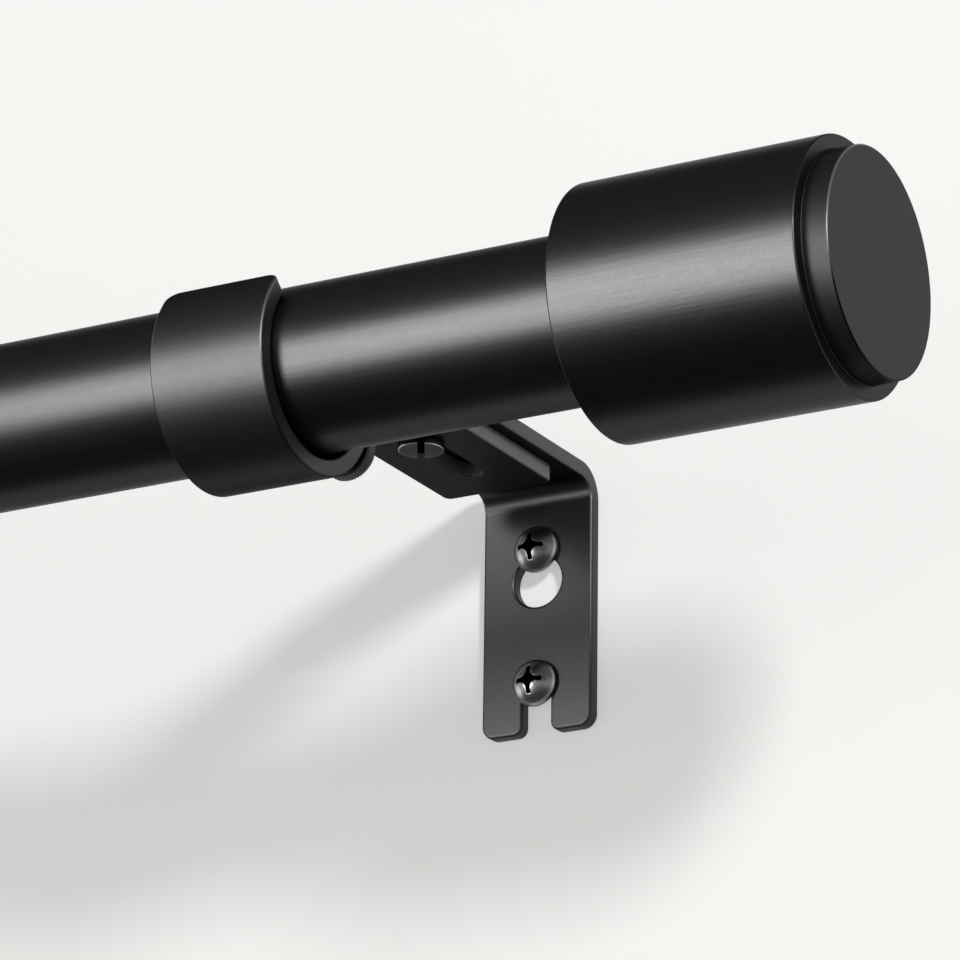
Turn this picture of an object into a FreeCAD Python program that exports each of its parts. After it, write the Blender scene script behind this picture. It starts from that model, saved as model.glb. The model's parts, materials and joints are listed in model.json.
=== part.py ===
import FreeCAD, Part
import math
import os
import re
import Sketcher

# Extendable curtain rod on two adjustable wall brackets.
# +X runs along the rod to its fixed end, +Y points into the wall, +Z is up.
# The origin lies on the wall, midway between the two screws of the right bracket.

Vector = FreeCAD.Vector
doc = FreeCAD.newDocument("CurtainRod")

# Driving dimensions in millimetres and degrees
driving = {
    "closed_length": (711, "over both finials with the rod pushed together"),
    "wall_distance": (85, "wall to the rod's axis"),
    "rod_height": (13.2, "rod's axis above the fixing centre"),
    "finial_reach": (56.75, "bracket's centre to the finial's open face"),
    "rod_diameter": (25.4, "outer tube"),
    "rod_wall": (0.8, "outer tube"),
    "inner_diameter": (22.2, "inner tube"),
    "inner_wall": (0.8, "inner tube"),
    "mouth_gap": (12, "left cradle to the outer tube's mouth"),
    "end_gap": (3.2, "inner tube's guide to the right finial's core"),
    "slide_clearance": (0.08, "radial, where one tube runs in the other"),
    "push_clearance": (0.05, "radial, where a piece is pushed on or in"),
    "mouth_lip": (1.2, "plastic lip over the outer tube's cut end"),
    "mouth_depth": (14, "mouth ring's sleeve inside the outer tube"),
    "guide_lip": (3, "guide's flange, which runs in the outer tube"),
    "guide_depth": (12, "guide's spigot inside the inner tube"),
    "guide_wall": (1.4, "guide's spigot"),
    "finial_diameter": (38.5, "drum of the finial"),
    "finial_length": (39.3, "drum of the finial"),
    "disc_diameter": (34, "raised end of the finial"),
    "disc_height": (4.1, "raised end of the finial"),
    "finial_wall": (1.3, "drum and end"),
    "finial_edge": (0.2, "eased edges of the finial"),
    "seat_depth": (26, "tube inside the finial"),
    "core_setback": (0.9, "core behind the finial's open edge"),
    "core_web": (2.5, "core behind the tube's end"),
    "core_skin": (1.9, "core's sleeves and flange"),
    "strap_width": (19.3, "cradle"),
    "strap_thickness": (2.8, "cradle"),
    "strap_height": (6.95, "middle of the strap above the hook's centre"),
    "strap_gap": (12.1, "wall to the strap's end, with hook and rod on one axis"),
    "strap_corner": (1.3, "corners of the strap's end"),
    "hook_radius": (13.37, "inside of the hook"),
    "hook_bend": (1.5, "inside of the bend from strap to hook"),
    "lip_angle": (46.5, "hook's end above its centre"),
    "lip_corner": (2.2, "corners of the hook's end"),
    "slot_width": (4.6, "cradle's slot"),
    "slot_setback": (10.2, "strap's wall end to the slot's wall arc centre"),
    "slot_length": (23.7, "between the slot's arc centres"),
    "seat_gap": (0.3, "rod to the front of the hook"),
    "sheet_edge": (0.2, "eased edges of both strips"),
    "arm_width": (19.8, "wall bracket"),
    "arm_thickness": (2.5, "wall bracket"),
    "arm_bend": (3, "inside of the wall bracket's bend"),
    "arm_front": (47, "wall to the arm's front end"),
    "arm_corner": (3, "corners of the arm's front end"),
    "arm_gap": (0.05, "arm on the strap, and screw head under it"),
    "plate_drop": (19.35, "fixing centre to the plate's foot"),
    "foot_corner": (2.2, "outer corners of the plate's foot"),
    "fork_corner": (1.5, "inner corners of the plate's foot"),
    "fork_width": (5.1, "open slot at the plate's foot"),
    "screw_spacing": (22.5, "between the two wall screws"),
    "keyhole_width": (4.8, "narrow part of the keyhole"),
    "keyhole_diameter": (8.6, "round part of the keyhole"),
    "keyhole_drop": (5.2, "wall screw down to the round part's centre"),
    "cradle_offset": (-1.95, "cradle's middle from the bracket's, along the rod"),
    "clamp_distance": (37, "wall to the clamp screw"),
    "clamp_diameter": (4, "clamp screw's thread"),
    "clamp_length": (8, "clamp screw under its head"),
    "clamp_head": (7.2, "clamp screw's head"),
    "clamp_head_height": (2.1, "clamp screw's head"),
    "clamp_recess": (4.4, "span of the clamp screw's cross recess"),
    "wall_screw_diameter": (4.2, "wall screw's thread"),
    "wall_screw_length": (32, "wall screw under its head"),
    "wall_screw_point": (6, "wall screw's taper"),
    "wall_screw_tip": (0.2, "radius of the wall screw's tip"),
    "wall_head": (7.7, "wall screw's head"),
    "wall_head_height": (3.1, "wall screw's head"),
    "wall_recess": (4.6, "span of the wall screw's cross recess"),
    "clamp_point": (0.6, "lead-in of the clamp screw"),
    "head_rim": (0.8, "upright edge of a screw head"),
    "recess_width": (1.15, "arm of a cross recess"),
    "recess_depth": (1.8, "cross recess"),
    "recess_taper": (9, "walls of a cross recess"),
    "thumb_diameter": (4, "thumb screw's thread"),
    "thumb_clearance": (0.06, "radial, screw in a tapped hole"),
    "thumb_length": (12.3, "thumb screw under its head"),
    "thumb_point": (0.5, "thumb screw's lead-in"),
    "thumb_head": (8.6, "thumb screw's knurled head"),
    "thumb_head_height": (2.2, "thumb screw's knurled head"),
    "thumb_head_edge": (0.25, "chamfer of the knurled head"),
    "thumb_droop": (7.5, "thumb screw's axis below the horizontal"),
    "thumb_tip_gap": (0.1, "thumb screw's tip to the rod"),
    "knurl_depth": (0.28, "grooves of the knurled head"),
    "knurl_width": (0.5, "grooves of the knurled head"),
    "knurl_count": (26, "grooves of the knurled head"),
}
sheet = doc.addObject("Spreadsheet::Sheet", "Sizes")
for row, (alias, (size, note)) in enumerate(driving.items(), 1):
    sheet.set(f"A{row}", note)
    sheet.set(f"B{row}", str(size))
    sheet.setAlias(f"B{row}", alias)
doc.recompute()

# Sizes that follow from the driving ones
worked = {
    "rod_radius": "(rod_diameter / 2)",
    "rod_bore": "(rod_diameter / 2 - rod_wall)",
    "inner_radius": "(inner_diameter / 2)",
    "inner_bore": "(inner_diameter / 2 - inner_wall)",
    "finial_total": "(finial_length + disc_height)",
    "finial_bore": "(finial_diameter / 2 - finial_wall)",
    "left_finial_at": "(finial_reach + 2 * finial_total - closed_length)",
    "left_bracket_at": "(left_finial_at + finial_reach)",
    "left_cradle_at": "(left_bracket_at + cradle_offset)",
    "mouth_at": "(left_cradle_at + strap_width / 2 + mouth_gap)",
    "rod_end_at": "(finial_reach + seat_depth)",
    "inner_start_at": "(left_finial_at - seat_depth)",
    "inner_end_at": "(rod_end_at - end_gap - guide_lip)",
    "droop_cos": "cos(thumb_droop * 1deg)",
    "droop_sin": "sin(thumb_droop * 1deg)",
    "right_shift": "(hook_radius - rod_radius - seat_gap)",
    "left_shift": "(hook_radius - inner_radius - seat_gap)",
    "strap_reach": "(wall_distance - strap_gap)",
    "slot_far": "(strap_reach - slot_setback)",
    "slot_near": "(slot_far - slot_length)",
    "hook_middle": "(hook_radius + strap_thickness / 2)",
    "bend_middle": "(hook_bend + strap_thickness / 2)",
    "strap_top_at": "(rod_height - right_shift * droop_sin + strap_height + strap_thickness / 2)",
    "arm_middle_at": "(strap_top_at + arm_gap + arm_thickness / 2)",
    "clamp_seat_at": "(strap_top_at - strap_thickness - arm_gap)",
    "left_drop": "((left_shift - right_shift) * droop_sin)",
}


def spelled(text):
    # Replaces worked sizes by their meaning, then driving ones by their cells
    words = "|".join(worked)
    while re.search(rf"\b({words})\b", text):
        text = re.sub(rf"\b({words})\b", lambda found: worked[found.group()], text)
    return re.sub(r"\b[a-z]+(_[a-z]+)+\b", lambda found: f"Sizes.{found.group()}", text)


def bind(thing, prop, text):
    thing.setExpression(prop, spelled(text))


def size_of(alias):
    return float(getattr(sheet, alias))


def new_body(label):
    body = doc.addObject("PartDesign::Body", label)
    body.Label = label
    return body


def place(thing, along, across, up, turn=None, about=Vector(1, 0, 0)):
    # Turns the piece about an axis by an angle in degrees, then moves it to its place
    if turn is not None:
        thing.Placement = FreeCAD.Placement(Vector(), FreeCAD.Rotation(about, 30))
        bind(thing, ".Placement.Rotation.Angle", f"({turn}) * 1deg")
    for axis, text in (("x", along), ("y", across), ("z", up)):
        bind(thing, f".Placement.Base.{axis}", text)


def new_sketch(body, name, role, lift=None):
    # A sketch on one of the body's own origin planes, lifted along its normal
    plane = next(f for f in body.Origin.OriginFeatures if f.Role == role)
    sketch = body.newObject("Sketcher::SketchObject", f"{body.Label}_{name}")
    sketch.AttachmentSupport = [(plane, "")]
    sketch.MapMode = "FlatFace"
    if lift is not None:
        bind(sketch, ".AttachmentOffset.Base.z", lift)
    return sketch


def constrain(sketch, kind, *where, text=None):
    # Adds a constraint and, where it has a size, ties that size to the sheet
    if text is None:
        sketch.addConstraint(Sketcher.Constraint(kind, *where))
        return
    index = sketch.addConstraint(Sketcher.Constraint(kind, *where))
    sketch.renameConstraint(index, f"size_{index}")
    bind(sketch, f"Constraints.size_{index}", text)


def hold(sketch, element, end, across, up):
    # Fixes a point of the sketch by its two coordinates
    centre = sketch.getPoint(element, end)
    for kind, text, start, axis in (("DistanceX", across, centre.x, -2), ("DistanceY", up, centre.y, -1)):
        if text == "0":
            constrain(sketch, "PointOnObject", element, end, axis)
        else:
            constrain(sketch, kind, -1, 1, element, end, start, text=text)


def outline(sketch, corners):
    # A closed run of straight lines through corners given as expressions
    count = len(corners)
    turn = 2 * math.pi / count
    ring = [Vector(math.cos(i * turn), math.sin(i * turn), 0) for i in range(count)]
    first = sketch.GeometryCount
    for i in range(count):
        sketch.addGeometry(Part.LineSegment(ring[i], ring[(i + 1) % count]))
    for i in range(count):
        constrain(sketch, "Coincident", first + i, 2, first + (i + 1) % count, 1)
    for i, (across, up) in enumerate(corners):
        hold(sketch, first + i, 1, across, up)


def circle(sketch, across, up, radius):
    ring = sketch.addGeometry(Part.Circle(Vector(1, 1, 0), Vector(0, 0, 1), 1))
    hold(sketch, ring, 3, across, up)
    constrain(sketch, "Radius", ring, 1, text=radius)


def upright_slot(sketch, across, low, high, width):
    # Two half circles joined by two lines, between the arc centres low and high
    up = Vector(0, 0, 1)
    top = sketch.addGeometry(Part.ArcOfCircle(Part.Circle(Vector(0, 9, 0), up, 3), 0, math.pi))
    foot = sketch.addGeometry(
        Part.ArcOfCircle(Part.Circle(Vector(0, -9, 0), up, 3), math.pi, 2 * math.pi))
    left = sketch.addGeometry(Part.LineSegment(Vector(-3, 9, 0), Vector(-3, -9, 0)))
    right = sketch.addGeometry(Part.LineSegment(Vector(3, -9, 0), Vector(3, 9, 0)))
    for one, other in (((top, 2), (left, 1)), ((left, 2), (foot, 1)),
                       ((foot, 2), (right, 1)), ((right, 2), (top, 1))):
        constrain(sketch, "Tangent", *one, *other)
    constrain(sketch, "Equal", top, foot)
    hold(sketch, top, 3, across, high)
    hold(sketch, foot, 3, across, low)
    constrain(sketch, "Radius", top, 3, text=f"{width} / 2")


def pad(body, sketch, length):
    solid = body.newObject("PartDesign::Pad", f"{sketch.Name}_pad")
    solid.Profile = sketch
    bind(solid, "Length", length)
    return solid


def pocket(body, sketch, length=None):
    # Cuts against the sketch's normal, or right through both ways with no length
    cut = body.newObject("PartDesign::Pocket", f"{sketch.Name}_pocket")
    cut.Profile = sketch
    if length is None:
        cut.SideType = "Symmetric"
        cut.Type = "ThroughAll"
    else:
        bind(cut, "Length", length)
    return cut


def revolve(body, sketch, kind="Revolution", axis="H_Axis"):
    solid = body.newObject(f"PartDesign::{kind}", f"{sketch.Name}_turned")
    solid.Profile = sketch
    solid.ReferenceAxis = (sketch, [axis])
    return solid


def soften(body, size, test, kind="Fillet"):
    # Rounds or chamfers the edges of the body's last feature that pass the test
    doc.recompute()
    base = body.Tip
    found = [f"Edge{i}" for i, edge in enumerate(base.Shape.Edges, 1) if test(edge)]
    if not found:
        raise RuntimeError(f"{body.Label}: no edge to soften by {size}")
    edge = body.newObject(f"PartDesign::{kind}", f"{base.Name}_{kind.lower()}")
    edge.Base = (base, found)
    bind(edge, "Radius" if kind == "Fillet" else "Size", size)


def ring_edge(along, radius):
    # Test for a full circle about the X axis
    def test(edge):
        box = edge.BoundBox
        return box.XLength < 1e-4 and abs(box.XMin - along) < 1e-4 and abs(box.YMax - radius) < 1e-4
    return test


# Rod: two plain steel tubes, one sliding in the other
def tube(label, radius, wall, start, length):
    body = new_body(label)
    section = new_sketch(body, "section", "YZ_Plane")
    circle(section, "0", "0", radius)
    circle(section, "0", "0", f"{radius} - {wall}")
    pad(body, section, length)
    place(body, start, "-wall_distance", "rod_height")
    return body


outer_tube = tube("outer_tube", "rod_radius", "rod_wall", "mouth_at", "rod_end_at - mouth_at")
inner_tube = tube("inner_tube", "inner_radius", "inner_wall", "inner_start_at",
                  "inner_end_at - inner_start_at")


# Plastic ring in the outer tube's mouth, with a lip over the cut edge
def mouth_sleeve():
    body = new_body("tube_mouth_ring")
    section = new_sketch(body, "section", "XY_Plane")
    bore = "inner_radius + slide_clearance"
    sleeve = "rod_bore - push_clearance"
    outline(section, [("-mouth_lip", bore), ("-mouth_lip", "rod_radius"), ("0", "rod_radius"),
                      ("0", sleeve), ("mouth_depth", sleeve), ("mouth_depth", bore)])
    revolve(body, section)
    place(body, "mouth_at", "-wall_distance", "rod_height")
    return body


# Plastic guide on the inner tube's hidden end, which runs in the outer tube
def end_guide():
    body = new_body("inner_tube_guide")
    section = new_sketch(body, "section", "XY_Plane")
    spigot = "inner_bore - push_clearance"
    flange = "rod_bore - slide_clearance"
    bore = f"{spigot} - guide_wall"
    outline(section, [("-guide_depth", bore), ("-guide_depth", spigot), ("0", spigot),
                      ("0", flange), ("guide_lip", flange), ("guide_lip", bore)])
    revolve(body, section)
    place(body, "inner_end_at", "-wall_distance", "rod_height")
    return body


# Finial: a hollow metal drum with a stepped end, closed over a plastic core
def finial_cap(label):
    body = new_body(label)
    section = new_sketch(body, "section", "XY_Plane")
    drum = "finial_diameter / 2"
    disc = "disc_diameter / 2"
    outline(section, [
        ("0", "finial_bore"), ("0", drum), ("finial_length", drum), ("finial_length", disc),
        ("finial_total", disc), ("finial_total", "0"), ("finial_total - finial_wall", "0"),
        ("finial_total - finial_wall", f"{disc} - finial_wall"),
        ("finial_length - finial_wall", f"{disc} - finial_wall"),
        ("finial_length - finial_wall", "finial_bore")])
    revolve(body, section)
    drum_radius = size_of("finial_diameter") / 2
    disc_radius = size_of("disc_diameter") / 2
    shoulder = size_of("finial_length")
    rims = (ring_edge(0, drum_radius), ring_edge(shoulder, drum_radius),
            ring_edge(shoulder + size_of("disc_height"), disc_radius))
    soften(body, "finial_edge", lambda edge: any(rim(edge) for rim in rims), "Chamfer")
    return body


def finial_core(label, tube_radius):
    body = new_body(label)
    section = new_sketch(body, "section", "XY_Plane")
    bore = f"{tube_radius} + push_clearance"
    outside = "finial_bore - push_clearance"
    back = "seat_depth + core_web"
    outline(section, [("core_setback", bore), ("core_setback", outside), (back, outside),
                      (back, "0"), ("seat_depth", "0"), ("seat_depth", bore)])
    revolve(body, section)
    channel = new_sketch(body, "channel", "XY_Plane")
    inside = f"{bore} + core_skin"
    rim = f"{outside} - core_skin"
    outline(channel, [("core_setback + core_skin", inside), ("core_setback + core_skin", rim),
                      (f"{back} + core_skin", rim), (f"{back} + core_skin", inside)])
    revolve(body, channel, "Groove")
    return body


mouth_ring = mouth_sleeve()
tube_guide = end_guide()
right_cap = finial_cap("right_finial_cap")
right_core = finial_core("right_finial_core", "rod_radius")
left_cap = finial_cap("left_finial_cap")
left_core = finial_core("left_finial_core", "inner_radius")
for piece in (right_cap, right_core):
    place(piece, "finial_reach", "-wall_distance", "rod_height")
for piece in (left_cap, left_core):
    place(piece, "left_finial_at", "-wall_distance", "rod_height", turn="180", about=Vector(0, 0, 1))


def bent_strip(body, spine, lift, width, thickness, middle):
    # A flat strip swept along a bent path, from a section across the path's start
    section = new_sketch(body, "section", lift[0], lift[1])
    low = f"{middle} - {thickness} / 2"
    high = f"{middle} + {thickness} / 2"
    outline(section, [(f"-{width} / 2", low), (f"{width} / 2", low),
                      (f"{width} / 2", high), (f"-{width} / 2", high)])
    strip = body.newObject("PartDesign::AdditivePipe", f"{body.Label}_strip")
    strip.Profile = section
    strip.Spine = (spine, [f"Edge{i + 1}" for i in range(spine.GeometryCount)])
    return strip


def side_edges(width):
    # Test for the strip's long edges, which lie in its two side planes
    def test(edge):
        box = edge.BoundBox
        return box.XLength < 1e-4 and abs(abs(box.XMin) - width / 2) < 1e-4
    return test


# Cradle: one strip, slotted strap at the wall end and an open hook at the other
def cradle(label):
    body = new_body(label)
    path = new_sketch(body, "path", "YZ_Plane")
    ring = size_of("hook_radius") + size_of("strap_thickness") / 2
    bend = size_of("hook_bend") + size_of("strap_thickness") / 2
    height = size_of("strap_height")
    reach = size_of("wall_distance") - size_of("strap_gap")
    bend_at = math.sqrt((ring + bend) ** 2 - (height - bend) ** 2)
    meet = math.atan2(height - bend, bend_at)
    lip = math.pi - math.radians(size_of("lip_angle"))
    up = Vector(0, 0, 1)
    strap = path.addGeometry(
        Part.LineSegment(Vector(reach, height, 0), Vector(bend_at, height, 0)))
    turn = path.addGeometry(Part.ArcOfCircle(
        Part.Circle(Vector(bend_at, height - bend, 0), up, bend), math.pi / 2, math.pi + meet))
    hook = path.addGeometry(Part.ArcOfCircle(
        Part.Circle(Vector(), up, ring), lip, 2 * math.pi + meet))
    constrain(path, "Horizontal", strap)
    hold(path, strap, 1, "strap_reach", "strap_height")
    constrain(path, "Tangent", strap, 2, turn, 1)
    constrain(path, "Radius", turn, bend, text="bend_middle")
    constrain(path, "Coincident", hook, 3, -1, 1)
    constrain(path, "Radius", hook, ring, text="hook_middle")
    constrain(path, "Tangent", turn, 2, hook, 2)
    constrain(path, "DistanceY", -1, 1, hook, 1, ring * math.sin(lip),
              text="hook_middle * sin(lip_angle * 1deg)")
    bent_strip(body, path, ("XZ_Plane", "-strap_reach"), "strap_width", "strap_thickness",
               "strap_height")

    thickness = size_of("strap_thickness")

    def strap_corner(edge):
        box = edge.BoundBox
        return box.YMin > reach - 1e-4 and abs(box.ZLength - thickness) < 1e-4 and box.XLength < 1e-4

    def lip_corner(edge):
        tilts = [math.atan2(point.Z, -point.Y) for point in edge.Vertexes]
        at_lip = all(abs(tilt - math.pi + lip) < 1e-3 for tilt in tilts)
        return at_lip and edge.BoundBox.XLength < 1e-4

    soften(body, "strap_corner", strap_corner)
    soften(body, "lip_corner", lip_corner)
    soften(body, "sheet_edge", side_edges(size_of("strap_width")), "Chamfer")
    slot = new_sketch(body, "slot", "XY_Plane")
    upright_slot(slot, "0", "slot_near", "slot_far", "slot_width")
    pocket(body, slot)
    tapped = new_sketch(body, "tapped_hole", "XZ_Plane")
    tapped.AttachmentOffset = FreeCAD.Placement(Vector(), FreeCAD.Rotation(Vector(-1, 0, 0), 10))
    bind(tapped, ".AttachmentOffset.Rotation.Angle", "thumb_droop * 1deg")
    circle(tapped, "0", "0", "thumb_diameter / 2 + thumb_clearance")
    pocket(body, tapped, "hook_radius + 2 * strap_thickness")
    return body


# Wall bracket: one strip bent to an L, keyhole and open slot in its plate
def wall_bracket(label):
    body = new_body(label)
    path = new_sketch(body, "path", "YZ_Plane")
    plate_at = -size_of("arm_thickness") / 2
    bend = size_of("arm_bend") + size_of("arm_thickness") / 2
    foot = -size_of("plate_drop")
    arm_at = size_of("rod_height") + 2 * bend
    up = Vector(0, 0, 1)
    plate = path.addGeometry(
        Part.LineSegment(Vector(plate_at, foot, 0), Vector(plate_at, arm_at - bend, 0)))
    turn = path.addGeometry(Part.ArcOfCircle(
        Part.Circle(Vector(plate_at - bend, arm_at - bend, 0), up, bend), 0, math.pi / 2))
    arm = path.addGeometry(Part.LineSegment(
        Vector(plate_at - bend, arm_at, 0), Vector(-size_of("arm_front"), arm_at, 0)))
    constrain(path, "Vertical", plate)
    hold(path, plate, 1, "-arm_thickness / 2", "-plate_drop")
    constrain(path, "Tangent", plate, 2, turn, 1)
    constrain(path, "Radius", turn, bend, text="arm_bend + arm_thickness / 2")
    constrain(path, "Tangent", turn, 2, arm, 1)
    constrain(path, "Horizontal", arm)
    hold(path, arm, 2, "-arm_front", "arm_middle_at")
    bent_strip(body, path, ("XY_Plane", "-plate_drop"), "arm_width", "arm_thickness",
               "-arm_thickness / 2")

    fork = new_sketch(body, "fork", "XZ_Plane")
    upright_slot(fork, "0", "-plate_drop - fork_width", "-screw_spacing / 2", "fork_width")
    pocket(body, fork)
    keyhole = new_sketch(body, "keyhole", "XZ_Plane")
    upright_slot(keyhole, "0", "screw_spacing / 2 - keyhole_drop", "screw_spacing / 2", "keyhole_width")
    pocket(body, keyhole)
    entry = new_sketch(body, "keyhole_entry", "XZ_Plane")
    circle(entry, "0", "screw_spacing / 2 - keyhole_drop", "keyhole_diameter / 2")
    pocket(body, entry)
    tapped = new_sketch(body, "tapped_hole", "XY_Plane")
    circle(tapped, "cradle_offset", "-clamp_distance", "clamp_diameter / 2 + thumb_clearance")
    pocket(body, tapped)

    def corner_at(half_width):
        # Test for an edge along Y at the plate's foot
        def test(edge):
            box = edge.BoundBox
            at_foot = box.ZLength < 1e-4 and abs(box.ZMin - foot) < 1e-4
            return at_foot and box.XLength < 1e-4 and abs(abs(box.XMin) - half_width) < 1e-4
        return test

    def front_corner(edge):
        box = edge.BoundBox
        at_front = box.YLength < 1e-4 and abs(box.YMin + size_of("arm_front")) < 1e-4
        return at_front and box.XLength < 1e-4

    soften(body, "foot_corner", corner_at(size_of("arm_width") / 2))
    soften(body, "fork_corner", corner_at(size_of("fork_width") / 2))
    soften(body, "arm_corner", front_corner)
    soften(body, "sheet_edge", side_edges(size_of("arm_width")), "Chamfer")
    return body


def cut_cross(body, span, top):
    # Tapered cross recess in the top of a screw's head
    cross = new_sketch(body, "recess", "XY_Plane", top)
    long = f"{span} / 2"
    short = "recess_width / 2"
    quarter = [(long, short), (short, short), (short, long)]
    corners = quarter + [(f"-{x}", y) for x, y in reversed(quarter)]
    corners += [(f"-{x}", f"-{y}") for x, y in quarter] + [(x, f"-{y}") for x, y in reversed(quarter)]
    outline(cross, corners)
    cut = pocket(body, cross, "recess_depth")
    bind(cut, "TaperAngle", "-recess_taper * 1deg")


# Screw with a domed head; the underside of the head is at height 0
def pan_screw(label, thread, length, point, tip, head, height, recess):
    body = new_body(label)
    section = new_sketch(body, "section", "XZ_Plane")
    radius = size_of(head) / 2
    rim = size_of("head_rim")
    top = size_of(height)
    middle = (top ** 2 - rim ** 2 - radius ** 2) / (2 * (top - rim))
    dome = section.addGeometry(Part.ArcOfCircle(
        Part.Circle(Vector(0, middle, 0), Vector(0, 0, 1), top - middle),
        math.atan2(rim - middle, radius), math.pi / 2))
    corners = [("0", height), ("0", f"-{length}"), (tip, f"-{length}"),
               (f"{thread} / 2", f"{point} - {length}"), (f"{thread} / 2", "0"),
               (f"{head} / 2", "0"), (f"{head} / 2", "head_rim")]
    first = section.GeometryCount
    for i in range(len(corners) - 1):
        section.addGeometry(Part.LineSegment(Vector(i, -i, 0), Vector(i + 1, -i - 1, 0)))
    for i, (across, up) in enumerate(corners[:-1]):
        hold(section, first + i, 1, across, up)
        if i:
            constrain(section, "Coincident", first + i - 1, 2, first + i, 1)
    last = first + len(corners) - 2
    hold(section, last, 2, *corners[-1])
    constrain(section, "Coincident", dome, 1, last, 2)
    constrain(section, "Coincident", dome, 2, first, 1)
    constrain(section, "PointOnObject", dome, 3, -2)
    revolve(body, section, axis="V_Axis")
    cut_cross(body, recess, height)
    return body


# Thumb screw with a knurled head; its tip is at height 0
def thumb_screw(label):
    body = new_body(label)
    section = new_sketch(body, "section", "XZ_Plane")
    shank = "thumb_diameter / 2"
    head = "thumb_head / 2"
    top = "(thumb_length + thumb_head_height)"
    outline(section, [
        ("0", "0"), (f"{shank} - thumb_point", "0"), (shank, "thumb_point"), (shank, "thumb_length"),
        (f"{head} - thumb_head_edge", "thumb_length"), (head, "thumb_length + thumb_head_edge"),
        (head, f"{top} - thumb_head_edge"), (f"{head} - thumb_head_edge", top), ("0", top)])
    revolve(body, section, axis="V_Axis")
    groove = new_sketch(body, "groove", "XY_Plane", top)
    outline(groove, [(f"{head} - knurl_depth", "0"), (f"{head} + knurl_depth", "knurl_width"),
                     (f"{head} + knurl_depth", "-knurl_width")])
    cut = pocket(body, groove, "thumb_head_height")
    knurl = body.newObject("PartDesign::PolarPattern", f"{label}_knurl")
    knurl.Originals = [cut]
    knurl.Axis = (groove, ["N_Axis"])
    knurl.Angle = 360
    bind(knurl, "Occurrences", "knurl_count")
    body.Tip = knurl
    return body


def wall_screws(label, along, drop):
    # Two identical screws, head out, the lower one in the open slot
    pair = []
    for name, height in (("upper", "screw_spacing / 2"), ("lower", "-screw_spacing / 2")):
        screw = pan_screw(f"{label}_{name}", "wall_screw_diameter", "wall_screw_length",
                          "wall_screw_point", "wall_screw_tip", "wall_head", "wall_head_height",
                          "wall_recess")
        place(screw, along, "-arm_thickness", f"{height} - {drop}", turn="90")
        pair.append(screw)
    group = doc.addObject("Part::Compound", label)
    group.Label = label
    group.Links = pair
    return group


# One bracket at each end; the left hook sits further back on the thinner tube
nodes = [outer_tube, mouth_ring, inner_tube, tube_guide, right_cap, right_core, left_cap, left_core]
sides = {
    "right": ("0", "0", "right_shift", "rod_radius"),
    "left": ("left_bracket_at", "left_drop", "left_shift", "inner_radius"),
}
for side, (along, drop, shift, held_radius) in sides.items():
    cradle_at = f"{along} + cradle_offset"
    bracket = wall_bracket(f"{side}_wall_bracket")
    place(bracket, along, "0", f"-{drop}")
    screws = wall_screws(f"{side}_wall_screws", along, drop)
    hook = cradle(f"{side}_cradle")
    place(hook, cradle_at, f"{shift} * droop_cos - wall_distance", f"rod_height - {shift} * droop_sin")
    clamp = pan_screw(f"{side}_clamp_screw", "clamp_diameter", "clamp_length", "clamp_point",
                      "clamp_diameter / 2 - clamp_point", "clamp_head", "clamp_head_height",
                      "clamp_recess")
    place(clamp, cradle_at, "-clamp_distance", f"clamp_seat_at - {drop}", turn="180")
    thumb = thumb_screw(f"{side}_thumb_screw")
    tip = f"({held_radius} + thumb_tip_gap)"
    place(thumb, cradle_at, f"{tip} * droop_cos - wall_distance", f"rod_height - {tip} * droop_sin",
          turn="90 + thumb_droop", about=Vector(-1, 0, 0))
    nodes += [bracket, screws, hook, clamp, thumb]

doc.recompute()
for thing in doc.Objects:
    if "Invalid" in thing.State or "Error" in thing.State:
        raise RuntimeError(f"{thing.Label} did not recompute: {thing.State}")
os.makedirs("parts", exist_ok=True)
for node in nodes:
    shape = node.Shape
    if shape.isNull() or not shape.isValid():
        raise RuntimeError(f"{node.Label} has no valid shape")
    shape.exportStep(f"parts/{node.Label}.step")
    print(f"{node.Label}: {len(shape.Solids)} solid, {shape.Volume:.1f} cubic mm")
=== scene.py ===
import json
import math
import bmesh
import bpy
from mathutils import Matrix, Vector
from mathutils.geometry import tessellate_polygon

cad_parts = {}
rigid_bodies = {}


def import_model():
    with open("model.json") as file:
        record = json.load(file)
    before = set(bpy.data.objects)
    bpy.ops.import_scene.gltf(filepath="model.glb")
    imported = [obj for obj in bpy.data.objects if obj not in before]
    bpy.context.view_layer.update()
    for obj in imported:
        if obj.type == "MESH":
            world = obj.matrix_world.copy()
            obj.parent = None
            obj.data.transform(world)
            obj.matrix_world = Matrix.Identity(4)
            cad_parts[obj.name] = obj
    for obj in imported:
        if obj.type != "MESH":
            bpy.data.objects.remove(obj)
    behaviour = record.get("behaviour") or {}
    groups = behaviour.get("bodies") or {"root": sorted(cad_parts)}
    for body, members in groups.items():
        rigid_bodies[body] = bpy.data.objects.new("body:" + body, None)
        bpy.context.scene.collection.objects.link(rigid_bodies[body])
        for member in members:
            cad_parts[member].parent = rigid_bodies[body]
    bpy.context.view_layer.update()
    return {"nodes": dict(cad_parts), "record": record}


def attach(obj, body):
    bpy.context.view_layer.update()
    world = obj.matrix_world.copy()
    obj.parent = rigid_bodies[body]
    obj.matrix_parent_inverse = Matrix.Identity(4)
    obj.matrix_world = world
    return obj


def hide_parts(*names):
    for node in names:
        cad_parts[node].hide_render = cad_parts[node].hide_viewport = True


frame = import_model()
nodes = frame["nodes"]
print("frame loaded:", len(nodes), "nodes")

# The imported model's frame: +X along the rod to its fixed end, +Y into the wall, +Z up, from
# the wall between the right bracket's two screws. Camera, lamps and stage are in metres, and
# the rod's own sizes in millimetres.
mm = 0.001


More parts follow.
